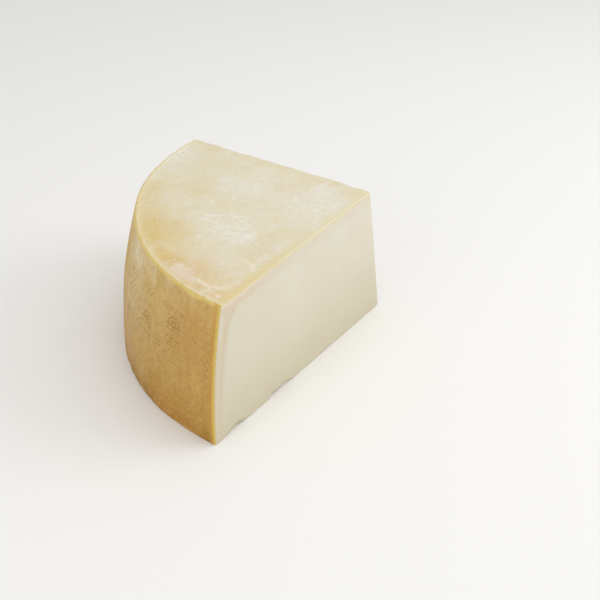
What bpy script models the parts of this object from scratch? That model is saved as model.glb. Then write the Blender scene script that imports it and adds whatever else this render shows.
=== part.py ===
"""A chunk of hard cheese: a quarter of a wheel, split level at the wheel's half height.

The wheel is turned from its outline, and one oblique knife block leaves the chunk. The block's front and
back faces are the two upright cuts, which meet along the apex edge, and its underside is the level cut that
the chunk rests on. Two small bites are then broken out of the front cut's foot.

Metres, +Z up. The chunk stands on Z = 0 with the middle of its footprint at the origin. The front cut faces
-Y, the back cut faces +X, and the rind wall curves from -X round to +Y.
"""

import math

import bmesh
import bpy
from mathutils import Matrix, Vector

# The whole wheel
RIM_RADIUS = 0.200  # the wheel's flat face, out to the crest of its rim
BULGE = 0.0185  # how far the wall stands out past the rim at half height
HALF_HEIGHT = 0.1236  # from the middle of the wheel up to the crest of its rim
LIP_HEIGHT = 0.0008  # the rim's crest above the flat of the face
LIP_WIDTH = 0.0060  # from the rim's outside in to the flat
RIM_ROUND = 0.0018  # radius of the rounded rim
HEEL = 0.020  # how much of the wheel's lower half is turned, which the level cut takes off
WHEEL_TIP = (math.radians(1.64), math.radians(-1.47))  # the wheel's slant to the level cut, about X and Y

# The two upright cuts meet on a line through these points, measured from the wheel's middle
APEX_TOP = Vector((0.0105, 0.0041, 0.1236))
APEX_FOOT = Vector((0.0309, 0.0027, 0.0))
BACK_CUT_SKEW = math.radians(1.25)  # how far past square the back cut turns from the front cut
APEX_ROUND = 0.0035  # the rubbed-down apex edge

# Bites along the front cut's foot: distance from the apex foot, length, height, depth, lean
BITES = (
    (0.2250, 0.0230, 0.0030, 0.0034, math.radians(-3.0)),
    (0.1610, 0.0330, 0.0036, 0.0040, math.radians(2.5)),
)

WALL_STEPS = 28  # rows up the wall
ROUND_STEPS = 5  # points round the rim
LIP_STEPS = 6  # points down the inside of the lip
TURN_STEPS = 288  # columns round the whole wheel
MERGE = 0.00005

FOOT_RADIUS = RIM_RADIUS + BULGE
FOOTPRINT_MIDDLE = Vector(((APEX_FOOT.x - FOOT_RADIUS) / 2, (APEX_FOOT.y + FOOT_RADIUS) / 2, 0.0))

RIND_COLOUR = (0.56, 0.39, 0.15, 1.0)
PASTE_COLOUR = (0.74, 0.68, 0.54, 1.0)


def clear_scene():
    for obj in list(bpy.data.objects):
        bpy.data.objects.remove(obj)


def new_collection(name):
    collection = bpy.data.collections.new(name)
    bpy.context.scene.collection.children.link(collection)
    return collection


def new_material(name, colour, roughness):
    material = bpy.data.materials.new(name)
    material.use_nodes = True
    shader = material.node_tree.nodes["Principled BSDF"]
    shader.inputs["Base Color"].default_value = colour
    shader.inputs["Roughness"].default_value = roughness
    shader.inputs["Metallic"].default_value = 0.0
    return material


def new_object(name, mesh, collection, parent):
    obj = bpy.data.objects.new(name, mesh)
    collection.objects.link(obj)
    obj.parent = parent
    return obj


def wall_radius(height):
    """The barrel wall: widest at the wheel's half height, and falling off with the square of the height."""
    return RIM_RADIUS + BULGE * (1 - (height / HALF_HEIGHT) ** 2)


def wheel_outline():
    """The half outline (radius, height), from the middle of the face over the rim and down the wall."""
    flat = HALF_HEIGHT - LIP_HEIGHT
    crest = RIM_RADIUS - RIM_ROUND
    lip_foot = RIM_RADIUS - LIP_WIDTH
    outline = [(0.0, flat)]
    for step in range(LIP_STEPS):
        share = step / LIP_STEPS
        rise = (1 - math.cos(math.pi * share)) / 2
        outline.append((lip_foot + (crest - lip_foot) * share, flat + LIP_HEIGHT * rise))
    round_foot = HALF_HEIGHT - RIM_ROUND
    for step in range(ROUND_STEPS):
        angle = math.pi / 2 * step / ROUND_STEPS
        spread = wall_radius(round_foot) - crest
        outline.append((crest + spread * math.sin(angle), round_foot + RIM_ROUND * math.cos(angle)))
    for step in range(WALL_STEPS + 1):
        height = round_foot - (round_foot + HEEL) * step / WALL_STEPS
        outline.append((wall_radius(height), height))
    outline.append((0.0, -HEEL))
    return outline


def turned_wheel(collection, parent, material):
    """The wheel as a turned outline, tipped a little so that the level cut crosses it on a slant."""
    outline = wheel_outline()
    mesh = bpy.data.meshes.new("parmesan_chunk")
    edges = [(i, i + 1) for i in range(len(outline) - 1)]
    mesh.from_pydata([(radius, 0.0, height) for radius, height in outline], edges, [])
    mesh.materials.append(material)
    wheel = new_object("parmesan_chunk", mesh, collection, parent)
    wheel.rotation_euler = (WHEEL_TIP[0], WHEEL_TIP[1], 0.0)
    turn = wheel.modifiers.new("turn", "SCREW")
    turn.axis = "Z"
    turn.angle = math.tau
    turn.steps = TURN_STEPS
    turn.render_steps = TURN_STEPS
    turn.use_merge_vertices = True
    turn.merge_threshold = MERGE
    turn.use_smooth_shade = True
    return wheel


def knife_block(collection, parent, material):
    """An oblique box whose leaning near edge is the apex edge and whose underside is the level cut."""
    side = 2.0 * FOOT_RADIUS
    tall = 2.0 * HALF_HEIGHT
    lean = (APEX_TOP - APEX_FOOT) / APEX_TOP.z
    box = bmesh.new()
    bmesh.ops.create_cube(box, size=1.0)
    bmesh.ops.translate(box, vec=(-0.5, 0.5, 0.5), verts=box.verts)
    bmesh.ops.scale(box, vec=(side, side, tall), verts=box.verts)
    weights = box.edges.layers.float.new("bevel_weight_edge")
    for edge in box.edges:
        on_apex = all(abs(v.co.x) < MERGE and abs(v.co.y) < MERGE for v in edge.verts)
        edge[weights] = 1.0 if on_apex else 0.0
    oblique = Matrix(
        (
            (1.0, -math.tan(BACK_CUT_SKEW), lean.x),
            (0.0, 1.0, lean.y),
            (0.0, 0.0, 1.0),
        )
    )
    bmesh.ops.transform(box, matrix=oblique.to_4x4(), verts=box.verts)
    mesh = bpy.data.meshes.new("knife_block")
    box.to_mesh(mesh)
    box.free()
    mesh.materials.append(material)
    block = new_object("knife_block", mesh, collection, parent)
    block.location = APEX_FOOT
    rub = block.modifiers.new("rubbed_apex", "BEVEL")
    rub.limit_method = "WEIGHT"
    rub.width = APEX_ROUND
    rub.segments = 4
    return block


def bite(name, collection, parent, material, reach, length, height, depth, lean):
    """A shell-shaped flake broken from the foot of the front cut, reach away from the apex foot."""
    ball = bmesh.new()
    bmesh.ops.create_uvsphere(ball, u_segments=28, v_segments=14, radius=1.0)
    bmesh.ops.scale(ball, vec=(length / 2, depth, height), verts=ball.verts)
    bmesh.ops.rotate(ball, cent=(0, 0, 0), matrix=Matrix.Rotation(lean, 3, "Y"), verts=ball.verts)
    mesh = bpy.data.meshes.new(name)
    ball.to_mesh(mesh)
    ball.free()
    mesh.materials.append(material)
    flake = new_object(name, mesh, collection, parent)
    flake.location = APEX_FOOT - Vector((reach, 0.0, 0.0))
    return flake


def cut(target, name, cutter, operation):
    """Cuts target with cutter. The cut faces keep the cutter's material, so they show as paste."""
    cutter.hide_render = True
    cutter.display_type = "WIRE"
    modifier = target.modifiers.new(name, "BOOLEAN")
    modifier.operation = operation
    modifier.solver = "EXACT"
    modifier.material_mode = "TRANSFER"
    modifier.object = cutter
    return modifier


def build():
    clear_scene()
    shown = new_collection("parmesan_chunk")
    helpers = new_collection("cutters")
    rind = new_material("rind", RIND_COLOUR, 0.55)
    paste = new_material("paste", PASTE_COLOUR, 0.50)

    wheel_middle = bpy.data.objects.new("wheel_middle", None)
    shown.objects.link(wheel_middle)
    wheel_middle.location = -FOOTPRINT_MIDDLE

    chunk = turned_wheel(shown, wheel_middle, rind)
    cut(chunk, "knife_cuts", knife_block(helpers, wheel_middle, paste), "INTERSECT")
    for number, (reach, length, height, depth, lean) in enumerate(BITES):
        name = f"bite_{number}"
        flake = bite(name, helpers, wheel_middle, paste, reach, length, height, depth, lean)
        cut(chunk, name, flake, "DIFFERENCE")


build()
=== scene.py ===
"""Dresses a chunk of hard cheese: a quarter of a wheel, split level at the wheel's half height.

The chunk is one closed mesh made of five faces that share the points along their seams. The shell
runs from a ring inside the lip over the rim and down the wall, and the top, the two upright cuts
and the base are caps that shrink from their rims to their middles. All the relief is one field of
shifts, worked out from how deep each point lies under each of the five faces: rounded edges, chips
and nicks, bites, low lumps and the pricks in the rind.

Metres, +Z up. Shapes are worked out round the wheel's middle and moved into place at the end.
"""

import math

import bpy
import numpy as np
from mathutils import Matrix, Vector

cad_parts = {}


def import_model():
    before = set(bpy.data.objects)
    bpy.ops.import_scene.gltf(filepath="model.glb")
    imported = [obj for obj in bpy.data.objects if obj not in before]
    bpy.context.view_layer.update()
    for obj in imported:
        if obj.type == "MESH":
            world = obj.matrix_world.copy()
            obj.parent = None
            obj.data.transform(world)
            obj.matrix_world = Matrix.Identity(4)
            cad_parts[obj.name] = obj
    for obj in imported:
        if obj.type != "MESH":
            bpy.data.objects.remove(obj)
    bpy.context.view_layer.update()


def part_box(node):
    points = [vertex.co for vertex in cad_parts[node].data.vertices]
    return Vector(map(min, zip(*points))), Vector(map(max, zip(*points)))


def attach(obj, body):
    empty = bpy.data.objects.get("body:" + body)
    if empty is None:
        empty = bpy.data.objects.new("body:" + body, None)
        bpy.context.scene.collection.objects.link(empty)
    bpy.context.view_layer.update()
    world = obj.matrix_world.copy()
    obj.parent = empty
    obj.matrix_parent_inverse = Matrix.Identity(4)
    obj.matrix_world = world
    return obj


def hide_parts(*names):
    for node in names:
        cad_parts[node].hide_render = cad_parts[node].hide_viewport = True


NODE = "parmesan_chunk"
MM = 0.001

# The whole wheel, in its own frame: middle at the origin, axis up
RIM_RADIUS = 0.200  # the flat face, out to the crest of the rim
BULGE = 0.0185  # how far the wall stands out past the rim at half height
HALF_HEIGHT = 0.1236  # from the middle up to the crest of the rim
LIP_HEIGHT = 0.0008
LIP_WIDTH = 0.0060
LIP_FOOT = RIM_RADIUS - LIP_WIDTH
RIM_ROUND = 0.0018
RIM_CREST = RIM_RADIUS - RIM_ROUND
RING_RADIUS = 0.1925  # where the shell's innermost ring lies, just inside the lip
WHEEL_TIP = (math.radians(1.64), math.radians(-1.47))  # slant to the level cut, about X and Y

# The two upright cuts meet on a line through these points, measured from the wheel's middle
APEX_TOP = np.array((0.0105, 0.0041, 0.1236))
APEX_FOOT = np.array((0.0309, 0.0027, 0.0))
BACK_CUT_SKEW = math.radians(1.25)

# Bites along the front cut's foot: distance from the apex foot, length, height, depth, and how far
# the deepest place lies towards the apex, from -1 to 1
BITES = (
    (0.2262, 0.0230, 0.0034, 0.0038, 0.25),
    (0.1610, 0.0330, 0.0038, 0.0042, -0.6),
)

# Mesh
CELL = 0.88 * MM  # the shell's cells, two to a prick's pitch
CELLS_PER_PRICK = 2
LIP_ROWS, RIM_ROWS = 7, 5  # rows of points over the lip, and round the rim
WALL_MIDDLE = 0.2139  # the wall's mean radius, where columns are CELL apart
CAP_CELL = 2.4 * MM
TOP_CELL = 1.8 * MM
BASE_CELL = 7 * MM
CAP_EDGE = (0.9 * MM, 2.1 * MM, 3.6 * MM)  # a cap's first rings, as distances in from its rim
HALVINGS = 3  # how often a cap's count of points halves towards its middle
TOP_MIDDLE = (math.radians(134), 0.100)  # where the top's rings shrink to: azimuth and radius
BASE_MIDDLE = (-0.070, 0.078, 0.0)
EASED = 0.2  # share of the shell, at its foot and sides, that bends the grid to meet the cuts
MID_WALL = math.radians(135)  # the azimuth at which the wall's rows are counted
SETTLING = 6  # rounds in which the shell's edges settle onto the cuts
SUBSTITUTIONS = 4  # rounds in which the wall's foot settles onto the level cut

RELIEF_FADE = 4 * MM  # how deep a face's relief still moves points
PRICK_DEPTH = 0.50 * MM
BAND_PITCH = 22  # pricks from one upright band of motifs to the next
# A main motif's pricks across and down, and the pricks down to the next one
MOTIF_WIDE, MOTIF_TALL, MOTIF_PITCH = 10, 5, 6
SMALL_START, SMALL_WIDE, SMALL_TALL = 13, 5, 4  # the small motifs beside them
BAND_SHIFT, SMALL_SHIFT = 4, 5  # pricks that the motifs stand higher in each next band
SMALL_RUN, SMALL_REPEAT, RUN_SHIFT = 20, 34, 7  # they come in runs of 20 pricks in every 34
FAINT_PRICK = 0.30  # how deep the pricks between the motifs are, as a share
MARKS_LOW, MARKS_HIGH = 0.018, 0.106  # the heights between which the wall is pricked
FADE_LOW, FADE_HIGH = 34 * MM, 6 * MM  # how far in the pricks reach their full depth
WORN = (0.90, 0.80, 0.45)  # share of the pricks left by wear: usual, how far it varies, least

# Patches on the top: azimuth in degrees, radius and reach in millimetres, strength
TOP_PATCHES = {
    "golden": (
        (143, 190, 50, 0.85), (126, 194, 55, 0.5), (154, 190, 19, 0.5), (156, 182, 13, 0.3),
        (115, 156, 28, 0.25), (136, 186, 19, 0.25), (132, 186, 13, 0.15), (117, 189, 19, 0.25),
        (142, 187, 9, 0.25), (137, 170, 13, 0.2), (89, 172, 13, 0.35), (173, 182, 40, 0.2),
        (120, 147, 13, 0.25), (159, 106, 13, 0.2), (85, 18, 19, 0.2), (80, 41, 9, 0.4),
        (163, 184, 20, 0.35), (152, 188, 14, 0.35), (157, 186, 10, 0.25),
    ),
    "orange": (
        (162, 188, 50, 0.5), (172, 123, 40, 0.2), (150, 188, 9, 0.35), (168.5, 191, 9, 0.35),
        (173, 191, 9, 0.35), (175.5, 188, 12, 0.45),
    ),
    "bloomed": (
        (133, 47, 55, 0.45), (112, 110, 40, 0.45), (145, 124, 40, 0.2), (124, 169, 28, 0.2),
        (98, 46, 19, 0.5), (98, 196, 40, 0.3), (94, 105, 19, 0.4), (163, 154, 19, 0.35),
        (155, 124, 13, 0.45),
    ),
    "peachy": ((109, 72, 28, 0.3),),
    "scuffed": (
        (145, 128, 36, 0.6), (154, 126, 18, 0.5), (135, 140, 20, 0.5), (170, 130, 10, 1),
        (169.3, 110, 12, 0.9), (173, 142, 8, 0.9), (162, 115, 12, 0.5), (122, 143, 8, 0.8),
        (126, 134, 8, 0.6), (99, 90, 12, 0.6), (96, 193, 10, 0.6), (89, 157, 10, 0.5),
    ),
    "flaked": (
        (159.4, 188.5, 9, 1), (162.2, 187, 11, 1), (165.4, 187, 7, 0.9), (171, 189.5, 5, 0.8),
        (174.6, 190.5, 4.5, 0.8),
    ),
}
# Patches on the wall: azimuth in degrees, height and reach in millimetres, strength
WALL_PATCHES = {
    "tan": (
        (148, 30, 27, 0.55), (168, 82, 40, 0.25), (154, 22, 18, 0.45), (144, 22, 18, 0.4),
        (169, 95, 27, 0.25), (131, 34, 40, 0.5), (112, 26, 35, 0.5), (97, 45, 40, 0.4),
    ),
    "yellow": (
        (150, 43, 18, 0.65), (145, 97, 18, 0.4), (122, 70, 30, 0.4), (103, 90, 22, 0.4),
    ),
    "pale": (
        (145, 58, 60, 0.25), (144, 116, 36, 0.95), (154, 117, 18, 0.55), (162, 119, 14, 0.5),
        (169, 120, 12, 0.35), (146, 80, 35, 0.2), (140, 71, 40, 0.1), (127, 108, 40, 0.4),
        (109, 112, 35, 0.3), (93, 80, 30, 0.3),
    ),
    "ruddy": (
        (174, 88, 60, 0.6), (164, 9, 27, 0.9), (171, 9, 18, 0.9), (140, 3, 25, 0.5),
        (118, 4, 25, 0.6), (92, 10, 30, 0.5),
    ),
}
WARP_REACH = 2.5 * MM  # how far the patches' outlines wander
# A pale ring on the top: its middle's azimuth and radius, and its own radius
RING_MARK = (167.8, 0.1645, 0.0222)
RING_WIDTH = 3 * MM
RING_START = math.radians(163.5)  # the azimuth at which the ring begins
RING_FADE = 0.07  # the turn in radians over which it comes in
RING_CLEAR = 7 * MM  # how far from the front cut it ends
RING_ENDING = 6 * MM  # the stretch over which it fades out before that

# Low relief, as noises with their height in millimetres, their size in metres and their seed
WALL_LUMPS = ((0.34, 0.034, 1), (0.12, 0.009, 2))
WALL_RIBS = (0.05, (0.0032, 0.070, 1.0), 3)
TOP_LUMPS = ((0.36, 0.046, 6), (0.11, 0.011, 7))
RING_RISE, FLAKE_DEPTH, RIND_RISE = 0.30, 0.35, 0.16  # millimetres
FLAKED_FROM, FLAKED_OVER = 0.25, 0.30  # the patches' strength where flaking starts, and its span
RIND_THICK = 5 * MM  # the part of the cuts that stands proud, in from the rind
BITE_SHUT = 1e-3  # the share of its size under which a bite is left shut
BITE_RAGGED = ((0.22, 0.005, 50), (0.10, 0.002, 51))  # with heights as shares of the bite's size

# The rind's edges along the cuts, drawn up by the knife
DRAWN_UP = 0.9 * MM
DRAWN_REACH = 9 * MM
# Less so along the front cut near the rim: by this share, from this radius, over this span
DRAWN_LESS, LESS_FROM, LESS_OVER = 0.6, 0.120, 0.060

# Nicks in the rim: azimuth in degrees, reach and depth in millimetres
NICKS = (
    (165.2, 3.0, 0.7), (172.4, 3.4, 1.3), (175.6, 2.6, 1.2),
    (151.0, 2.6, 0.4), (126.0, 3.0, 0.6), (108.0, 3.0, 0.6),
)

CHIP_REACH = 3.2 * MM  # how far from an edge its chips reach
CHIP_COARSE, CHIP_FINE = (0.0065, 40), (0.0026, 41)  # size and seed of the noises that place them
# Which faces meet, how round their edge is and how deep its chips are, in millimetres
EDGES = (
    ("front", "back", 3.5, 0.15),
    ("top", "front", 0.9, 0.12),
    ("top", "back", 0.5, 0.40),
    ("top", "wall", 0.0, 0.35),
    ("wall", "front", 0.9, 0.15),
    ("wall", "back", 0.5, 0.15),
    ("base", "front", 0.6, 0.35),
    ("base", "back", 0.6, 0.35),
    ("base", "wall", 0.6, 0.22),
)

# Short strokes in the top's bloom: the way they run, turned about Z, and their length and width
STROKES_WAY = (0.0, 0.0, math.radians(-56))
STROKES_SIZE = (5 * MM, 2.5 * MM, 1.0)


def tints(codes):
    """Six-figure colour codes, with spaces between, as linear red, green, blue and alpha."""
    found = []
    for code in codes.split():
        shares = [int(code[i : i + 2], 16) / 255 for i in (0, 2, 4)]
        linear = [s / 12.92 if s <= 0.04045 else ((s + 0.055) / 1.055) ** 2.4 for s in shares]
        found.append((*linear, 1.0))
    return found


FINISHES = ("rind", "paste")  # the mesh's materials, in order

# Colours of the top, the wall, the cut edges and the paste
TOP_CREAM, TOP_BUFF, TOP_STROKE_SHADE, TOP_GOLD, TOP_ORANGE = tints("dfd5b6 dfcea4 cbc4ac d8be79 d6ae6e")
TOP_BLOOM, TOP_CHALK, TOP_PEACH, TOP_FLAKED, TOP_ARC = tints("e4e1d8 edeae0 e0c6a6 e0ceb4 eaddc6")
TOP_STRIPE, STRIPE_FAR, TOP_EDGE, EDGE_PALE = tints("dfcc98 e6dbb2 dcca9a e3dcc0")
PALE_CREST_HIGHLIGHT, RIM_OLIVE = tints("e5d5a2 e2c976")
WALL_LOW, WALL_HIGH, WALL_FOOT_SHADE, WALL_TAN, WALL_YELLOW = tints("b68b3b d4b674 9c7128 c09862 c79c3c")
WALL_PALE, WALL_RUDDY, WALL_CREAM, WALL_BROWN = tints("e7dcbc bd8434 d6b266 b08038")
WALL_SPECK, WALL_PRICK_DIRT_AND_SHADE, WALL_MARKED = tints("7c5238 93692a cba75e")
CUT_WARM, CUT_LINE = tints("cd9744 dabd60")
PASTE_IVORY, PASTE_HIGH, PASTE_LOW_SHADE, PASTE_VEIN = tints("dcd5c1 e0dac9 cdc4a9 d5cdb6")
PASTE_CRYSTAL, PASTE_CORNER, PASTE_GREY, PASTE_TAN = tints("ece7da dcd3c3 d4c7ae d0c0a2")
PASTE_PINK, PASTE_LINE, PASTE_SKIN = tints("d8c9b1 dfd4c3 dccfa4")
FLOOR_PALE = tints("f4f3f0")[0]

# Light: the surround's strength, and each lamp's name, place, size and power
SURROUND = 0.67
SOFTBOXES = (
    ("overhead", (0.2, -0.3, 1.6), 1.6, 6.1),
    ("front_right", (0.9, -1.3, 0.9), 1.2, 8.5),
    ("left", (-1.5, -0.2, 0.8), 1.2, 3.7),
)

# Floor and camera
FLOOR_REACH = 12.0
LENS = 61.2  # millimetres
CLOSEST = 0.05
CAMERA_PLACE = (-0.5928, -0.5019, 0.5120)
CAMERA_RIGHT, CAMERA_UP = (0.55947, -0.82885, 0.0), (0.43864, 0.29608, 0.84849)


def tipped():
    """The wheel's tip as a matrix: turned about X, then about Y."""
    (cx, cy), (sx, sy) = np.cos(WHEEL_TIP), np.sin(WHEEL_TIP)
    turn_x = np.array(((1, 0, 0), (0, cx, -sx), (0, sx, cx)))
    turn_y = np.array(((cy, 0, sy), (0, 1, 0), (-sy, 0, cy)))
    return turn_y @ turn_x


TIP = tipped()
AXIS = TIP[:, 2]
LEAN = (APEX_TOP - APEX_FOOT) / APEX_TOP[2]
BACK_WAY = np.array((-math.tan(BACK_CUT_SKEW), 1.0, 0.0))


def unit(vectors):
    return vectors / np.linalg.norm(vectors, axis=-1, keepdims=True)


FRONT_NORMAL = unit(np.cross((1.0, 0.0, 0.0), LEAN))
BACK_NORMAL = unit(np.cross(BACK_WAY, LEAN))


def ease(share):
    """0 to 1 with level ends: 3s^2 - 2s^3, held at 0 and 1 outside."""
    share = np.clip(share, 0.0, 1.0)
    return share * share * (3 - 2 * share)


def noise(places, size, seed):
    """Smooth random values from -1 to 1, with lumps about size across, which may be a size for each
    axis: a lattice of random numbers, blended with eased weights."""
    count = 32
    lattice = np.random.default_rng(seed).uniform(-1, 1, (count, count, count))
    scaled = places / np.asarray(size)
    cell = np.floor(scaled).astype(int)
    share = ease(scaled - cell)
    total = np.zeros(places.shape[:-1])
    for corner in np.ndindex(2, 2, 2):
        at = (cell + corner) % count
        weight = np.where(corner, share, 1 - share).prod(axis=-1)
        total += weight * lattice[at[..., 0], at[..., 1], at[..., 2]]
    return total


# ---- The ideal wheel and knife planes ----


def wall_radius(height):
    """The barrel wall: widest at half height, and falling off with the square of the height."""
    return RIM_RADIUS + BULGE * (1 - (height / HALF_HEIGHT) ** 2)


def face_height(radius):
    """The face is flat, and rises over the lip in half a cosine wave."""
    share = np.clip((radius - LIP_FOOT) / (RIM_CREST - LIP_FOOT), 0, 1)
    return HALF_HEIGHT - LIP_HEIGHT * (1 + np.cos(math.pi * share)) / 2


def cut_azimuth(normal, radius, height, side):
    """Where a knife plane through the apex crosses the circle of this radius and height: the cosine
    of the angle from the plane's normal is its distance over the radius."""
    leans = normal @ TIP
    facing = math.hypot(leans[0], leans[1])
    cosine = (normal @ APEX_FOOT - leans[2] * height) / (facing * radius)
    return math.atan2(leans[1], leans[0]) + side * np.arccos(cosine)


def foot_height(azimuth):
    """The wall's height where the level cut crosses it, found by repeated substitution."""
    height = np.zeros_like(azimuth)
    for _ in range(SUBSTITUTIONS):
        across = TIP[2, 0] * np.cos(azimuth) + TIP[2, 1] * np.sin(azimuth)
        height = -wall_radius(height) * across / TIP[2, 2]
    return height


def from_wheel(azimuth, radius, height):
    """Points of the tipped wheel from their azimuth, radius and height."""
    azimuth, radius, height = np.broadcast_arrays(azimuth, radius, height)
    return np.stack((radius * np.cos(azimuth), radius * np.sin(azimuth), height), axis=-1) @ TIP.T


def rim_profile():
    """Radius and height from the innermost ring, over the lip and round the rim to the wall."""
    band = np.concatenate(((RING_RADIUS,), np.linspace(LIP_FOOT, RIM_CREST, LIP_ROWS)[:-1]))
    turn = np.linspace(0, math.pi / 2, RIM_ROWS)
    top_of_wall = HALF_HEIGHT - RIM_ROUND
    spread = wall_radius(top_of_wall) - RIM_CREST
    radius = np.concatenate((band, RIM_CREST + spread * np.sin(turn)))
    height = np.concatenate((face_height(band), top_of_wall + RIM_ROUND * np.cos(turn)))
    return radius, height


# ---- The mesh: shared points, then faces ----


class Skin:
    """The points and faces of a closed surface. Grids share the points of their seams by number."""

    def __init__(self):
        self.points = []
        self.count = 0
        self.faces = []

    def add(self, points):
        """Keeps the points and gives their numbers, in the same grid."""
        shape = points.shape[:-1]
        flat = points.reshape(-1, 3)
        self.points.append(flat)
        numbers = np.arange(self.count, self.count + len(flat)).reshape(shape)
        self.count += len(flat)
        return numbers

    def at(self, numbers):
        return np.concatenate(self.points)[numbers]

    def grid(self, numbers, face):
        """Four-sided faces between neighbouring rows and columns."""
        corners = (numbers[:-1, :-1], numbers[:-1, 1:], numbers[1:, 1:], numbers[1:, :-1])
        self.faces.append((np.stack([c.ravel() for c in corners], axis=-1), face))

    def loops(self, outer, inner, face):
        """Four-sided faces between two closed loops of the same count."""
        self.grid(np.stack((np.append(outer, outer[0]), np.append(inner, inner[0]))), face)

    def stitch(self, outer, outer_way, inner, inner_way, face):
        """Triangles between two closed loops of different counts. Both are walked by their share of
        the way round, and each step makes one triangle with the other loop's last point."""
        steps = np.concatenate((np.append(outer_way[1:], 1.0), np.append(inner_way[1:], 1.0)))
        on_outer = np.argsort(steps, kind="stable") < len(outer)
        i = np.cumsum(on_outer) - on_outer
        j = np.cumsum(~on_outer) - ~on_outer
        new = np.where(on_outer, outer[(i + 1) % len(outer)], inner[(j + 1) % len(inner)])
        corners = (outer[i % len(outer)], new, inner[j % len(inner)])
        self.faces.append((np.stack(corners, axis=-1), face))

    def cap(self, rim, middle, cell, face):
        """A face filled from its closed rim: a point is middle + (rim point - middle) * share.
        Shares fall from 1 to 0 in even steps, and each time they halve, so does the count of points
        round the loop."""
        curve = self.at(np.append(rim, rim[0]))
        lengths = np.linalg.norm(np.diff(curve, axis=0), axis=1)
        way = np.concatenate(((0.0,), np.cumsum(lengths))) / lengths.sum()
        reach = np.linalg.norm(curve - middle, axis=1).min()
        most = 2**HALVINGS
        full = int(lengths.sum() / cell / most) * most
        inner_steps = np.arange(CAP_EDGE[-1] + cell, reach - cell / 2, cell)
        outer, outer_way = rim, way[:-1]
        for number, inset in enumerate((*CAP_EDGE, *inner_steps)):
            share = 1 - inset / reach
            if number == 0:
                inner_way = way[:-1]
            else:
                halvings = min(int(-math.log2(share)), HALVINGS)
                inner_way = np.arange(full // 2**halvings) * 2**halvings / full
            along = np.stack([np.interp(inner_way, way, curve[:, k]) for k in range(3)], axis=-1)
            inner = self.add(middle + (along - middle) * share)
            if len(inner) == len(outer):
                self.loops(outer, inner, face)
            else:
                self.stitch(outer, outer_way, inner, inner_way, face)
            outer, outer_way = inner, inner_way
        hub = self.add(middle[None])
        fan = np.stack((outer, np.roll(outer, -1), np.full_like(outer, hub[0])), axis=-1)
        self.faces.append((fan, face))


def straight(skin, start, end):
    """New points between two numbered ones, evenly about CAP_CELL apart."""
    a, b = skin.at(start), skin.at(end)
    count = max(int(np.linalg.norm(b - a) / CAP_CELL), 1)
    share = (np.arange(1, count) / count)[:, None]
    return skin.add(a + (b - a) * share)


def shell_points():
    """The shell as a grid of points. Rows follow the rim's profile and then run down the wall at an
    even pitch; columns run from the front cut to the back cut at an even angle. The last rows bend
    to meet the level cut, and the outermost columns to meet the two knife planes."""
    rim_radius, rim_height = rim_profile()
    start = cut_azimuth(FRONT_NORMAL, RIM_RADIUS, rim_height[-1], -1) + math.tau
    end = cut_azimuth(BACK_NORMAL, RIM_RADIUS, rim_height[-1], 1)
    columns = round((start - end) * WALL_MIDDLE / CELL)
    rows = round((rim_height[-1] - foot_height(np.array(MID_WALL))) / CELL)
    across = np.linspace(0, 1, columns + 1)[None, :]
    all_columns = np.ones_like(across)
    down = (np.arange(1, rows + 1) / rows)[:, None]
    azimuth = np.broadcast_to(start + (end - start) * across, (len(rim_height) + rows, columns + 1))
    for _ in range(SETTLING):
        foot = foot_height(azimuth[len(rim_height) :])
        even = rim_height[-1] + (foot.mean() - rim_height[-1]) * down
        wall_height = even + ease((down - 1 + EASED) / EASED) * (foot - foot.mean())
        height = np.concatenate((rim_height[:, None] * all_columns, wall_height))
        radius = np.concatenate((rim_radius[:, None] * all_columns, wall_radius(wall_height)))
        front = cut_azimuth(FRONT_NORMAL, radius, height, -1) + math.tau - start
        back = cut_azimuth(BACK_NORMAL, radius, height, 1) - end
        bend = front * ease(1 - across / EASED) + back * ease((across - 1 + EASED) / EASED)
        azimuth = start + (end - start) * across + bend
    return from_wheel(azimuth, radius, height), len(rim_height)


def chunk_skin():
    """The sharp, smooth chunk as five joined faces, and the shell's numbers."""
    skin = Skin()
    points, rim_rows = shell_points()
    shell = skin.add(points)
    face_level = face_height(0.0)
    to_face = (face_level - APEX_FOOT @ AXIS) / (LEAN @ AXIS)
    apex_top = skin.add((APEX_FOOT + LEAN * to_face)[None])
    apex_foot = skin.add(APEX_FOOT[None])
    top_front = straight(skin, apex_top[0], shell[0, 0])
    top_back = straight(skin, apex_top[0], shell[0, -1])
    foot_front = straight(skin, apex_foot[0], shell[-1, 0])
    foot_back = straight(skin, apex_foot[0], shell[-1, -1])
    apex = straight(skin, apex_foot[0], apex_top[0])
    skin.grid(shell, "rind")
    join = np.concatenate
    rims = {
        "top": join((apex_top, top_back, shell[0, ::-1], top_front[::-1])),
        "front": join((apex_foot, apex, apex_top, top_front, shell[:, 0], foot_front[::-1])),
        "back": join((apex_foot, foot_back, shell[::-1, -1], top_back[::-1], apex_top, apex[::-1])),
        "base": join((apex_foot, foot_front, shell[-1], foot_back[::-1])),
    }
    for name, rim in rims.items():
        corners = skin.at(rim)
        middle = (corners.max(axis=0) + corners.min(axis=0)) / 2
        if name == "top":
            middle = from_wheel(*TOP_MIDDLE, face_level)
        elif name == "base":
            middle = np.array(BASE_MIDDLE)
        else:
            normal = FRONT_NORMAL if name == "front" else BACK_NORMAL
            middle = middle - normal * ((middle - APEX_FOOT) @ normal)
        cell = {"top": TOP_CELL, "base": BASE_CELL}.get(name, CAP_CELL)
        skin.cap(rim, middle, cell, "rind" if name == "top" else "paste")
    return skin, shell, rim_rows


# ---- Relief: one field of shifts over all points ----


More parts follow.
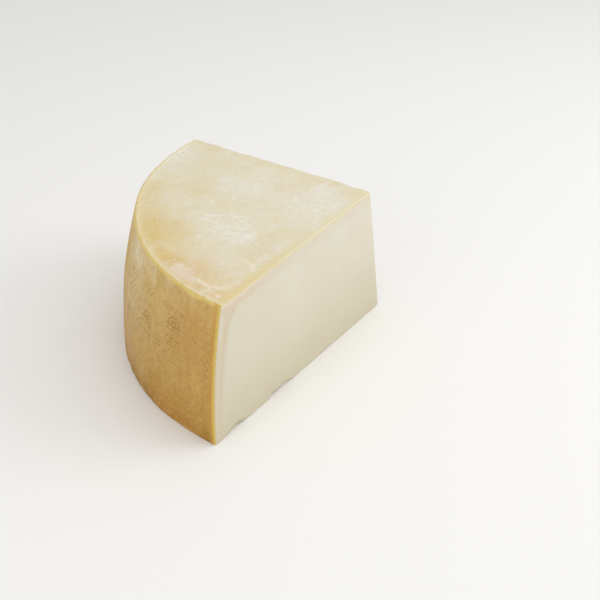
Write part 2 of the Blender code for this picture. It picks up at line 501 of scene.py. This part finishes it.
class Places:
    """The sharp chunk's points, with their depths under the five faces and the faces' normals."""

    def __init__(self, points):
        wheel = points @ TIP
        self.points = points
        self.radius = np.hypot(wheel[:, 0], wheel[:, 1])
        self.height = wheel[:, 2]
        self.azimuth = np.arctan2(wheel[:, 1], wheel[:, 0]) % math.tau
        self.rolled = np.stack((self.azimuth * RIM_RADIUS, self.height, self.radius), axis=-1)
        slope = np.arctan(2 * BULGE * self.height / HALF_HEIGHT**2)
        outwards = from_wheel(self.azimuth, np.cos(slope), np.sin(slope))
        self.depth = {
            "top": face_height(self.radius) - self.height,
            "wall": (wall_radius(self.height) - self.radius) * np.cos(slope),
            "front": (APEX_FOOT - points) @ FRONT_NORMAL,
            "back": (APEX_FOOT - points) @ BACK_NORMAL,
            "base": points[:, 2],
        }
        self.normal = {
            "top": AXIS,
            "wall": outwards,
            "front": FRONT_NORMAL,
            "back": BACK_NORMAL,
            "base": np.array((0.0, 0.0, -1.0)),
        }

    def from_face_spot(self, azimuth, radius):
        """Distance from a spot on the face, given in degrees and metres."""
        spot = from_wheel(math.radians(azimuth), radius, face_height(0.0))
        return np.linalg.norm(self.points - spot, axis=1)

    def from_wall_spot(self, azimuth, height):
        """Distance round the wheel from a spot on the wall, given in degrees and metres."""
        turn = math.radians(azimuth) * RIM_RADIUS
        return np.hypot(self.rolled[:, 0] - turn, self.height - height)


def bump(share):
    """A smooth hill: 1 at share 0, level there, and 0 from share 1 outwards."""
    return ease(1 - np.abs(share))


def lumps(places, *layers):
    """The sum of several noises, each given by its height, size and seed."""
    return sum(height * noise(places, size, seed) for height, size, seed in layers)


def wall_relief(at):
    """Broad lumps, small dents, and the upright ribs that the mould left."""
    return (lumps(at.points, *WALL_LUMPS) + lumps(at.rolled, WALL_RIBS)) * MM


def warped(at):
    """The same places, moved about smoothly, so that what is drawn by them has a ragged outline."""
    shifts = [lumps(at.points, (1, 0.013, seed), (0.5, 0.005, seed + 3)) for seed in (70, 71, 72)]
    return Places(at.points + WARP_REACH * np.stack(shifts, axis=-1))


def patches(distance, spots):
    """How strong patches of one kind are at each point: the sum of a smooth hill over each spot."""
    hills = []
    for azimuth, place, reach, strength in spots:
        away = distance(azimuth, place * MM) / (reach * MM)
        hills.append(strength * bump(np.minimum(away, 1)))
    return np.minimum(np.sum(hills, axis=0), 1)


def ring_mark(at):
    """How much of the faint ring on the face each point has, from 0 to 1."""
    azimuth, radius, size = RING_MARK
    across = (at.from_face_spot(azimuth, radius) - size) / RING_WIDTH
    starting = ease((at.azimuth - RING_START) / RING_FADE)
    ending = ease((at.depth["front"] - RING_CLEAR) / RING_ENDING)
    return bump(np.clip(across, -1, 1)) * starting * ending


def top_relief(at):
    """Broad lumps, flaked patches, a faint ring near the rim, and edges drawn up by the knife."""
    flaked = patches(warped(at).from_face_spot, TOP_PATCHES["flaked"])
    flaked_off = ease((flaked - FLAKED_FROM) / FLAKED_OVER)
    by_rim = ease((at.radius - LESS_FROM) / LESS_OVER)
    front, back = (bump(at.depth[cut] / DRAWN_REACH) for cut in ("front", "back"))
    drawn_up = np.maximum((1 - DRAWN_LESS * by_rim) * front, back)
    low = lumps(at.points, *TOP_LUMPS) + RING_RISE * ring_mark(at) - FLAKE_DEPTH * flaked_off
    return low * MM + DRAWN_UP * drawn_up


def cut_relief(at, seed):
    """A slow wave, faint upright ripples from the knife, and the rind's section just proud."""
    low = lumps(at.points, (0.24, 0.075, seed), (0.05, (0.0055, 0.0055, 0.110), seed + 1))
    rind = np.minimum(at.depth["top"], at.depth["wall"])
    return (low + RIND_RISE * bump(rind / RIND_THICK)) * MM


def relief(at):
    """Each face's own relief, along its normal, fading out a few millimetres beneath it."""
    heights = {
        "wall": wall_relief(at),
        "top": top_relief(at),
        "front": cut_relief(at, 20),
        "back": cut_relief(at, 30),
    }
    shift = np.zeros_like(at.points)
    for face, height in heights.items():
        weight = bump(np.maximum(at.depth[face], 0) / RELIEF_FADE)
        shift += (height * weight)[:, None] * at.normal[face]
    return shift


def rounded(first, second, radius):
    """How far to sink along each of two faces' normals so that the edge between them is an arc. The
    level line at depth d under both faces gets the radius less d; a point beside its corner slides
    round the arc."""
    size = np.maximum(radius - np.maximum(np.minimum(first, second), 0), 1e-9)
    beside = np.abs(second - first)
    angle = math.pi / 4 * np.clip(1 - beside / size, 0, 1)
    sink = size * (1 - np.cos(angle))
    slide = np.where(angle > 0, size * (1 - np.sin(angle)) - beside, 0)
    on_first = second >= first
    return np.where(on_first, sink, slide), np.where(on_first, slide, sink)


def crumbled(at, first, second, most):
    """Small chips out of an edge, in places: deepest on the edge, and gone CHIP_REACH from it."""
    away = (np.maximum(at.depth[first], 0) + np.maximum(at.depth[second], 0)) / CHIP_REACH
    coarse, fine = noise(at.points, *CHIP_COARSE), noise(at.points, *CHIP_FINE)
    chips = ease((coarse - 0.10) / 0.55) + 0.35 * ease(fine)
    return most * bump(np.minimum(away, 1)) * chips


def edges(at):
    """Rounds every edge between two faces, crumbles it, and nicks the rim."""
    shift = np.zeros_like(at.points)
    for first, second, radius, crumbs in EDGES:
        sinks = rounded(at.depth[first], at.depth[second], radius * MM)
        chip = crumbled(at, first, second, crumbs * MM)
        for face, sink in zip((first, second), sinks):
            shift -= (sink + chip)[:, None] * at.normal[face]
    for azimuth, reach, depth in NICKS:
        spot = from_wheel(math.radians(azimuth), RIM_RADIUS, HALF_HEIGHT - RIM_ROUND / 2)
        away = np.linalg.norm(at.points - spot, axis=1) / (reach * MM)
        nick = depth * MM * bump(np.minimum(away, 1))
        shift -= nick[:, None] * (AXIS + at.normal["wall"])
    return shift


def bites(at):
    """Shell-shaped bites out of the front cut's foot. In a slice across the bite, points of the cut
    and of the base inside the bite's ellipse move onto it, and the foot's edge goes to the middle
    of its arc."""
    shift = np.zeros_like(at.points)
    ragged = 1 + lumps(at.points, *BITE_RAGGED)
    for reach, length, height, depth, skew in BITES:
        along = np.clip((at.points[:, 0] - APEX_FOOT[0] + reach) / (length / 2), -1, 1)
        along = np.where(along < skew, (along - skew) / (1 + skew), (along - skew) / (1 - skew))
        open_by = np.sqrt(np.clip(1 - along**2, 0, 1)) * ragged
        up, back = at.depth["base"] / height, at.depth["front"] / depth
        inside = (open_by > BITE_SHUT) & (np.maximum(up, back) < open_by)
        turn = math.pi / 4 * (1 + (up - back) / np.maximum(open_by, BITE_SHUT))
        new_up, new_back = open_by * np.sin(turn), open_by * np.cos(turn)
        shift[:, 2] += np.where(inside, (new_up - up) * height, 0)
        shift[:, 1] += np.where(inside, (new_back - back) * depth, 0)
    return shift


def motif(kind, across, down):
    """Whether a main motif of this kind has a prick here: thin strokes on a plain 10 by 5 grid."""
    beside = np.abs(down - 2)
    arc = np.round(np.hypot(across - 4.5, down - 4))
    kinds = (
        down == np.abs(across % 4 - 2) + 1,  # a small zigzag
        (across + down) % 4 == 0,  # slanting strokes
        arc % 2 == 0,  # an arc round a smaller one
        ((across - beside) % 4 == 0) & (across >= beside),  # arrows in a row
        (down % 4 == 0) & (across % 4 != 3),  # two broken bars
        (across - down) % 4 == 0,  # strokes that slant the other way
        down % 4 == np.abs(across % 4 - 2),  # a small zigzag over dots
    )
    return np.choose(kind % len(kinds), kinds)


def prick_marks(rows, columns):
    """How deep a prick each point of the wall's grid is, and whether a motif marks it: upright
    bands of plain motifs, with small strokes and bars beside them, over faint pricks."""
    row, column = np.meshgrid(np.arange(rows), np.arange(columns), indexing="ij")
    on_lattice = (row % CELLS_PER_PRICK == 1) & (column % CELLS_PER_PRICK == 1)
    row, column = row // CELLS_PER_PRICK, column // CELLS_PER_PRICK
    band, across = np.divmod(column, BAND_PITCH)
    number, down = np.divmod(row + BAND_SHIFT * band, MOTIF_PITCH)
    in_main = (across < MOTIF_WIDE) & (down < MOTIF_TALL)
    small_across = across - SMALL_START
    small_number, small_down = np.divmod(row + SMALL_SHIFT * band, SMALL_TALL + 1)
    in_small = (small_across >= 0) & (small_across < SMALL_WIDE) & (small_down < SMALL_TALL)
    in_small &= (row + RUN_SHIFT * band) % SMALL_REPEAT < SMALL_RUN
    main = in_main & motif(3 * band + 2 * number, np.minimum(across, MOTIF_WIDE - 1), down)
    small_kinds = (
        (small_across + small_down) % 3 == 0,
        small_down % 2 == 0,
        (small_across - small_down) % 3 == 0,
    )
    small = in_small & np.choose(small_number % 3, small_kinds)
    faint = FAINT_PRICK * ((row + column) % 2 == 0)
    return on_lattice * np.where(main | small, 1.0, faint), in_main | in_small


def pricks(at, shell, rim_rows):
    """How pricked and how marked each point is: less towards the rim, the foot and worn places."""
    wall = shell[rim_rows:]
    pricked, marked = prick_marks(*wall.shape)
    height = at.height[wall]
    fade = ease((height - MARKS_LOW) / FADE_LOW) * ease((MARKS_HIGH - height) / FADE_HIGH)
    usual, varying, least = WORN
    worn = np.clip(usual + varying * noise(at.points[wall], 0.024, 60), least, 1)
    strengths = np.zeros((2, len(at.points)))
    strengths[:, wall] = np.stack((pricked, marked)) * fade * worn
    return strengths


def chunk_mesh(middle):
    """The finished mesh, with what its materials need to know stored on its points."""
    skin, shell, rim_rows = chunk_skin()
    at = Places(np.concatenate(skin.points))
    prick, marked = pricks(at, shell, rim_rows)
    shift = relief(at) + edges(at) + bites(at)
    shift -= (PRICK_DEPTH * prick)[:, None] * at.normal["wall"]
    points = at.points + shift
    points[:, 2] = np.maximum(points[:, 2], 0)
    mesh = bpy.data.meshes.new("cheese")
    faces = [corners for block, _ in skin.faces for corners in block.tolist()]
    mesh.from_pydata((points + middle).tolist(), [], faces)
    finishes = [np.full(len(block), FINISHES.index(kind)) for block, kind in skin.faces]
    mesh.polygons.foreach_set("material_index", np.concatenate(finishes))
    mesh.shade_smooth()
    over_rim = np.minimum(at.radius - RIM_RADIUS + RIM_ROUND, RIM_ROUND) + HALF_HEIGHT - at.height
    store(mesh, "rolled", at.rolled)
    store(mesh, "over_rim", over_rim)
    store(mesh, "prick", prick)
    store(mesh, "marked", marked)
    store(mesh, "ringed", ring_mark(at))
    wandering = warped(at)
    for name, spots in TOP_PATCHES.items():
        store(mesh, name, patches(wandering.from_face_spot, spots))
    for name, spots in WALL_PATCHES.items():
        store(mesh, name, patches(wandering.from_wall_spot, spots))
    for face in ("front", "back", "top", "wall"):
        store(mesh, face + "_depth", at.depth[face])
    return mesh


def store(mesh, name, values):
    """Keeps a number or a vector for each point of the mesh."""
    vector = values.ndim == 2
    attribute = mesh.attributes.new(name, "FLOAT_VECTOR" if vector else "FLOAT", "POINT")
    attribute.data.foreach_set("vector" if vector else "value", values.astype(np.float32).ravel())


# ---- Materials ----


class Tree:
    """A node tree in short calls. A value that is a socket is linked, and any other is set."""

    def __init__(self, tree, groups=None):
        self.tree = tree
        self.groups = groups
        tree.nodes.clear()

    def add(self, kind, values=(), **settings):
        made = self.tree.nodes.new("ShaderNode" + kind)
        for name, value in settings.items():
            setattr(made, name, value)
        for name, value in dict(values).items():
            if isinstance(value, bpy.types.NodeSocket):
                self.tree.links.new(value, made.inputs[name])
            else:
                made.inputs[name].default_value = value
        return made

    def math(self, operation, *values, clamp=False):
        made = self.add("Math", enumerate(values), operation=operation, use_clamp=clamp)
        return made.outputs[0]

    def line(self, value, slope, start):
        """value * slope + start."""
        return self.math("MULTIPLY_ADD", value, slope, start)

    def total(self, first, second, clamp=False):
        return self.math("ADD", first, second, clamp=clamp)

    def product(self, first, *others):
        for other in others:
            first = self.math("MULTIPLY", first, other)
        return first

    def window(self, value, start, end):
        """0 before start and 1 after end, eased between. start may be the greater."""
        ends = {"To Min": 0.0, "To Max": 1.0}
        if not isinstance(start, bpy.types.NodeSocket) and start > end:
            start, end, ends = end, start, {"To Min": 1.0, "To Max": 0.0}
        values = {"Value": value, "From Min": start, "From Max": end, **ends}
        return self.add("MapRange", values, interpolation_type="SMOOTHSTEP").outputs[0]

    def band(self, value, middle, reach):
        """1 at middle, and 0 from reach away on either side."""
        away = self.math("ABSOLUTE", self.math("SUBTRACT", value, middle))
        return self.window(away, reach, 0.0)

    def mix(self, share, first, second):
        values = {0: share, 6: first, 7: second}
        return self.add("Mix", values, data_type="RGBA").outputs[2]

    def layers(self, colour, *layers):
        """Lays colours over the first one. Each comes as a mask, a strength and the colour."""
        for mask, strength, over in layers:
            colour = self.mix(self.product(mask, strength), colour, over)
        return colour

    def stored(self, name, output="Fac"):
        return self.add("Attribute", attribute_name=name).outputs[output]

    def centred(self, value, reach):
        """A value between 0 and 1 made to run from -reach to +reach."""
        return self.line(value, 2 * reach, -reach)

    def bumped(self, height, distance, strength):
        values = {"Height": height, "Distance": distance, "Strength": strength}
        return self.add("Bump", values).outputs[0]

    def use(self, group, **values):
        """Places a node group, named as in GROUPS, and gives its one output."""
        values = {name.capitalize(): value for name, value in values.items()}
        return self.add("Group", values, node_tree=self.groups[group]).outputs[0]

    def cloud(self, place, scale, low, high, detail=3.0):
        return self.use("cloud", place=place, scale=scale, detail=detail, low=low, high=high)

    def stretched(self, place, scales, *edges):
        """A cloud with its own scale along each axis. edges are its low, high and detail."""
        scaled = self.add("VectorMath", {0: place, 1: scales}, operation="MULTIPLY").outputs[0]
        return self.cloud(scaled, 1.0, *edges)


def new_group(name, draw, *inputs):
    """A node group with a Place vector, number inputs and one output. draw makes its nodes."""
    group = bpy.data.node_groups.new(name, "ShaderNodeTree")
    tree = Tree(group)
    new_socket = group.interface.new_socket
    new_socket("Place", in_out="INPUT", socket_type="NodeSocketVector")
    for key in inputs:
        new_socket(key, in_out="INPUT", socket_type="NodeSocketFloat")
    new_socket("Value", in_out="OUTPUT", socket_type="NodeSocketFloat")
    given, out = group.nodes.new("NodeGroupInput"), group.nodes.new("NodeGroupOutput")
    group.links.new(draw(tree, given.outputs), out.inputs[0])
    return group


def draw_cloud(tree, given):
    """Soft-edged patches: 0 where the noise is under Low, 1 where it is over High."""
    values = {"Vector": given["Place"], "Scale": given["Scale"], "Detail": given["Detail"]}
    grey = tree.add("TexNoise", {**values, "Roughness": 0.62}).outputs["Fac"]
    return tree.window(grey, given["Low"], given["High"])


def draw_specks(tree, given):
    """Small round specks, in some cells of a lattice: Size is their radius as a share of a cell,
    and Chance the share of cells that have one."""
    cell = tree.add("TexVoronoi", {"Vector": given["Place"], "Scale": given["Scale"]})
    inner = tree.product(given["Size"], 0.45)
    spot = tree.math("SUBTRACT", 1.0, tree.window(cell.outputs["Distance"], inner, given["Size"]))
    pick = tree.add("SeparateColor", {"Color": cell.outputs["Color"]}).outputs["Red"]
    chosen = tree.math("LESS_THAN", pick, given["Chance"])
    return tree.product(spot, chosen)


def draw_grain(tree, given):
    """Fine pores over coarser tooth, as a height from 0 to 1."""
    place, scale = given["Place"], given["Scale"]
    tooth = tree.add("TexNoise", {"Vector": place, "Scale": scale, "Detail": 5.0})
    pores = tree.add("TexVoronoi", {"Vector": place, "Scale": tree.product(scale, 2.7)})
    pits = tree.math("MINIMUM", pores.outputs["Distance"], 0.45)
    return tree.total(tree.product(tooth.outputs["Fac"], 0.7), tree.product(pits, 0.6))


# Node groups: the function that draws each, and its number inputs
GROUPS = {
    "cloud": (draw_cloud, "Scale", "Detail", "Low", "High"),
    "specks": (draw_specks, "Scale", "Size", "Chance"),
    "grain": (draw_grain, "Scale"),
}


def new_material(name, groups=None):
    """A material, its emptied tree, and the socket with each point's place in its object."""
    material = bpy.data.materials.new(name)
    material.use_nodes = True
    tree = Tree(material.node_tree, groups)
    return material, tree, tree.add("TexCoord").outputs["Object"]


def finish(tree, colour, roughness, normal, **numbers):
    """The shader itself, with its uniform numbers on its own sockets."""
    values = {"Base Color": colour, "Roughness": roughness, "Normal": normal, **numbers}
    shader = tree.add("BsdfPrincipled", values)
    tree.add("OutputMaterial", {"Surface": shader.outputs[0]})


def top_colour(tree, place, rolled):
    """Cream, with gold, orange and peach patches, pale bloom scuffed with short strokes whose grey
    ones are painted shade, a pale ring, a flaked patch, a yellow stripe along each cut, and a pale
    painted highlight along the rim's crest."""
    radius = rolled["Z"]
    front, back = tree.stored("front_depth"), tree.stored("back_depth")
    wander = tree.centred(tree.cloud(place, 95.0, 0.25, 0.75, 6.0), 0.34)
    fine = tree.centred(tree.cloud(place, 330.0, 0.25, 0.75, 4.0), 0.25)
    rough = tree.total(wander, fine)
    drifts = tree.cloud(place, 45.0, 0.42, 0.66, 6.0)
    chalk = tree.cloud(place, 75.0, 0.46, 0.66, 7.0)
    flecks = tree.cloud(place, 170.0, 0.50, 0.60)
    dust = tree.cloud(place, 420.0, 0.47, 0.66, 4.0)
    turned = {"Vector": place, "Rotation": STROKES_WAY, "Scale": STROKES_SIZE}
    strokes = tree.add("Mapping", turned, vector_type="TEXTURE").outputs[0]
    pale_strokes = tree.cloud(strokes, 1.0, 0.52, 0.60)
    shaded_strokes = tree.cloud(strokes, 1.13, 0.54, 0.64)
    worn = tree.total(1.0, tree.product(rough, 0.7))
    golden = tree.product(tree.stored("golden"), tree.total(1.0, tree.product(rough, 0.35)))
    orange, bloomed, peachy, scuffs = (
        tree.product(tree.stored(name), worn) for name in ("orange", "bloomed", "peachy", "scuffed")
    )
    scuffed = tree.total(scuffs, tree.total(bloomed, 0.2), clamp=True)
    flaked = tree.total(tree.stored("flaked"), tree.product(rough, 0.8))
    flaked_off = tree.window(flaked, 0.24, 0.32)
    by_wall = tree.window(radius, 0.060, 0.185)
    strip = tree.line(by_wall, MM, 8 * MM)
    from_cut = tree.total(front, tree.product(wander, 7 * MM))
    inside_strip = tree.math("SUBTRACT", strip, from_cut)
    back_line = tree.product(tree.window(back, 3.2 * MM, 0.8 * MM), tree.window(wander, -0.1, 0.2))
    stripe = tree.window(inside_strip, -MM, 3.5 * MM)
    stripe_strength = tree.line(by_wall, 0.35, 0.60)
    edge = tree.mix(by_wall, EDGE_PALE, TOP_EDGE)
    return tree.layers(
        TOP_CREAM,
        (drifts, 0.36, TOP_BUFF),
        (chalk, 0.36, TOP_BLOOM),
        (dust, 0.2, TOP_BLOOM),
        (golden, 1.0, TOP_GOLD),
        (peachy, 1.0, TOP_PEACH),
        (bloomed, 1.0, TOP_BLOOM),
        (orange, 1.0, TOP_ORANGE),
        (scuffs, 0.3, TOP_BLOOM),
        (tree.product(flecks, scuffed), 0.35, TOP_CHALK),
        (tree.product(pale_strokes, scuffed), 0.6, TOP_CHALK),
        # painted shade: grey strokes in the scuffed bloom, for the shade of its small ridges
        (tree.product(shaded_strokes, scuffed), 0.5, TOP_STROKE_SHADE),
        (tree.stored("ringed"), worn, TOP_ARC),
        (flaked_off, tree.line(dust, -0.5, 1.0), TOP_FLAKED),
        (tree.product(flaked_off, chalk), 0.6, TOP_ARC),
        (stripe, stripe_strength, tree.mix(by_wall, STRIPE_FAR, TOP_STRIPE)),
        (back_line, 0.6, TOP_STRIPE),
        (tree.window(front, 1.8 * MM, 0.9 * MM), 1.0, edge),
        # painted highlight: a pale line along the rim's crest
        (tree.band(tree.stored("over_rim"), -0.1 * MM, 1.3 * MM), 0.8, PALE_CREST_HIGHLIGHT),
    )


def wall_colour(tree, place, rolled):
    """Gold, paler towards the rim, darker towards the foot and more orange by the front cut, with
    soft clouds, faint upright streaks, painted shade along the foot, and a dark colour in the
    pricks that is partly dirt and partly painted shade."""
    turn, height = rolled["X"], rolled["Y"]
    unrolled = tree.add("CombineXYZ", {"X": turn, "Y": height}).outputs[0]
    streaks = tree.stretched(unrolled, (260.0, 22.0, 1.0), 0.42, 0.70)
    smears = tree.stretched(unrolled, (75.0, 26.0, 1.0), 0.47, 0.68, 5.0)
    drifts = tree.stretched(unrolled, (38.0, 30.0, 1.0), 0.47, 0.70, 4.0)
    mottle = tree.cloud(place, 300.0, 0.42, 0.64, 4.0)
    shade = tree.cloud(place, 190.0, 0.44, 0.68, 5.0)
    specks = tree.use("specks", place=place, scale=95.0, size=0.10, chance=0.05)
    worn = tree.line(mottle, 0.7, 0.65)
    tan, yellow, pale, ruddy = (
        tree.product(tree.stored(name), worn) for name in ("tan", "yellow", "pale", "ruddy")
    )
    cut = tree.math("MINIMUM", tree.stored("front_depth"), tree.stored("back_depth"))
    pit_dirt_and_shade = tree.window(tree.stored("prick"), 0.06, 0.52)
    rim_middle = tree.line(smears, 1.4 * MM, 2.2 * MM)
    return tree.layers(
        tree.mix(tree.window(height, 0.01, 0.116), WALL_LOW, WALL_HIGH),
        # painted shade: the wall darkens along its foot, where it meets the floor
        (tree.window(height, 0.024, 0.006), 0.92, WALL_FOOT_SHADE),
        (tan, 1.0, WALL_TAN),
        (yellow, 1.0, WALL_YELLOW),
        (pale, 1.0, WALL_PALE),
        (ruddy, 1.0, WALL_RUDDY),
        (smears, 0.26, WALL_CREAM),
        (drifts, 0.24, WALL_BROWN),
        (streaks, 0.24, WALL_BROWN),
        (tree.stored("marked"), 0.25, WALL_MARKED),
        (mottle, 0.34, WALL_CREAM),
        (shade, 0.32, WALL_BROWN),
        (specks, 0.6, WALL_SPECK),
        # dark in the pricks: partly dirt, partly painted shade in the pits
        (pit_dirt_and_shade, 0.86, WALL_PRICK_DIRT_AND_SHADE),
        (tree.band(tree.stored("over_rim"), rim_middle, 3.4 * MM), 0.85, RIM_OLIVE),
        (tree.window(cut, 7.5 * MM, 4 * MM), 0.55, CUT_WARM),
        (tree.window(cut, 4 * MM, 1.2 * MM), 1.0, CUT_LINE),
    )


def rind_material(groups):
    material, tree, place = new_material("rind", groups)
    rolled = tree.add("SeparateXYZ", {0: tree.stored("rolled", "Vector")}).outputs
    on_wall = tree.window(tree.stored("over_rim"), 0.3 * MM, 1.9 * MM)
    top, wall = (paint(tree, place, rolled) for paint in (top_colour, wall_colour))
    colour = tree.mix(on_wall, top, wall)
    grain = tree.use("grain", place=place, scale=420.0)
    scratches = tree.stretched(place, (320.0, 40.0, 60.0), 0.35, 0.75)
    flakes = tree.cloud(place, 150.0, 0.46, 0.54, 5.0)
    rough = tree.total(tree.product(scratches, 0.5), tree.product(flakes, 0.5))
    normal = tree.bumped(tree.total(grain, rough), 0.22 * MM, 0.7)
    roughness = tree.line(tree.cloud(place, 60.0, 0.35, 0.7), 0.14, 0.52)
    finish(tree, colour, roughness, normal, **{"Specular IOR Level": 0.30})
    return material


def paste_colour(tree, place):
    """Ivory, paler above, and warmer and darker below, with shade painted in towards the floor.
    Inside the wall runs a grey strip with a tan line, and under the top a thin skin, a pale line
    and a pink strip that fade away from the wall."""
    up = tree.add("SeparateXYZ", {0: place}).outputs["Z"]
    wavy = tree.centred(tree.cloud(place, 55.0, 0.2, 0.8, 4.0), MM)
    wall = tree.total(tree.stored("wall_depth"), wavy)
    top = tree.total(tree.stored("top_depth"), wavy)
    widening = tree.product(tree.window(up, 0.0, 0.115), -4 * MM)
    bend = tree.line(tree.window(top, 24 * MM, 4 * MM), -8 * MM, widening)
    deep_in = tree.total(wall, bend)
    corner = tree.product(tree.window(wall, 7 * MM, 3 * MM), tree.window(top, 40 * MM, 20 * MM))
    high = tree.product(tree.window(up, 0.045, 0.12), tree.window(wall, 0.02, 0.11))
    by_wall = tree.line(tree.window(wall, 0.075, 0.010), 0.75, 0.25)
    soft = tree.cloud(place, 13.0, 0.35, 0.68)
    veins = tree.stretched(place, (150.0, 150.0, 9.0), 0.42, 0.68)
    crystals = tree.use("specks", place=place, scale=110.0, size=0.12, chance=0.06)
    return tree.layers(
        PASTE_IVORY,
        (high, 0.9, PASTE_HIGH),
        (soft, 0.25, PASTE_VEIN),
        # painted shade: the cut faces darken towards the floor
        (tree.window(up, 0.075, 0.0), 0.85, PASTE_LOW_SHADE),
        (veins, 0.16, PASTE_VEIN),
        (tree.window(deep_in, 14 * MM, 5.5 * MM), 0.9, PASTE_GREY),
        (tree.band(deep_in, 6.3 * MM, 2.2 * MM), 0.7, PASTE_TAN),
        (corner, 0.7, PASTE_CORNER),
        (tree.window(top, 11 * MM, 6.5 * MM), by_wall, PASTE_PINK),
        (tree.window(top, 3.6 * MM, 2.4 * MM), by_wall, PASTE_LINE),
        (tree.window(top, 1.6 * MM, 0.9 * MM), 1.0, PASTE_SKIN),
        (crystals, 0.5, PASTE_CRYSTAL),
    )


def paste_material(groups):
    material, tree, place = new_material("paste", groups)
    colour = paste_colour(tree, place)
    grain = tree.use("grain", place=place, scale=520.0)
    veins = tree.stretched(place, (170.0, 170.0, 8.0), 0.35, 0.7)
    height = tree.total(grain, tree.product(veins, 0.35))
    normal = tree.bumped(height, 0.10 * MM, 0.45)
    roughness = tree.line(tree.cloud(place, 14.0, 0.35, 0.68), 0.10, 0.44)
    translucent = {"Subsurface Weight": 0.12, "Subsurface Scale": 4 * MM}
    finish(tree, colour, roughness, normal, **{"Specular IOR Level": 0.32}, **translucent)
    return material


# ---- Setting ----


def new_object(name, data):
    made = bpy.data.objects.new(name, data)
    bpy.context.scene.collection.objects.link(made)
    return made


def floor_material():
    material, tree, place = new_material("floor")
    tooth = tree.add("TexNoise", {"Vector": place, "Scale": 300.0}).outputs["Fac"]
    normal = tree.bumped(tooth, 0.05 * MM, 0.1)
    finish(tree, FLOOR_PALE, 0.7, normal)
    return material


def add_floor():
    """A pale floor, far wider than any view of it."""
    mesh = bpy.data.meshes.new("floor")
    low, high = -FLOOR_REACH, FLOOR_REACH
    corners = [(low, low, 0), (high, low, 0), (high, high, 0), (low, high, 0)]
    mesh.from_pydata(corners, [], [(0, 1, 2, 3)])
    mesh.materials.append(floor_material())
    return new_object("floor", mesh)


def add_studio(middle):
    """Wide soft lamps aimed at the cheese, and a bright even surround."""
    world = bpy.data.worlds.new("studio")
    world.use_nodes = True
    glow = world.node_tree.nodes["Background"].inputs
    glow["Color"].default_value = (1.0, 1.0, 1.0, 1.0)
    glow["Strength"].default_value = SURROUND
    bpy.context.scene.world = world
    for name, place, size, power in SOFTBOXES:
        lamp = bpy.data.lights.new(name, "AREA")
        lamp.size, lamp.energy = size, power
        box = new_object(name, lamp)
        box.location = place
        box.rotation_euler = (Vector(middle) - Vector(place)).to_track_quat("-Z", "Y").to_euler()


def add_camera():
    camera = bpy.data.cameras.new("camera")
    camera.lens = LENS
    camera.clip_start = CLOSEST
    holder = new_object("camera", camera)
    right, up = Vector(CAMERA_RIGHT), Vector(CAMERA_UP)
    turn = Matrix((right, up, right.cross(up))).transposed()
    holder.matrix_world = Matrix.Translation(CAMERA_PLACE) @ turn.to_4x4()
    bpy.context.scene.camera = holder


def main():
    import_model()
    low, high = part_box(NODE)
    middle = np.array((high[0] - APEX_FOOT[0], low[1] - APEX_FOOT[1], low[2]))
    cheese = new_object("cheese", chunk_mesh(middle))
    groups = {name: new_group(name, *details) for name, details in GROUPS.items()}
    cheese.data.materials.append(rind_material(groups))
    cheese.data.materials.append(paste_material(groups))
    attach(cheese, "root")
    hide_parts(NODE)
    floor = add_floor()
    add_studio((low + high) / 2)
    add_camera()
    bpy.context.scene.view_settings.view_transform = "Standard"
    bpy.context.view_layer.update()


main()
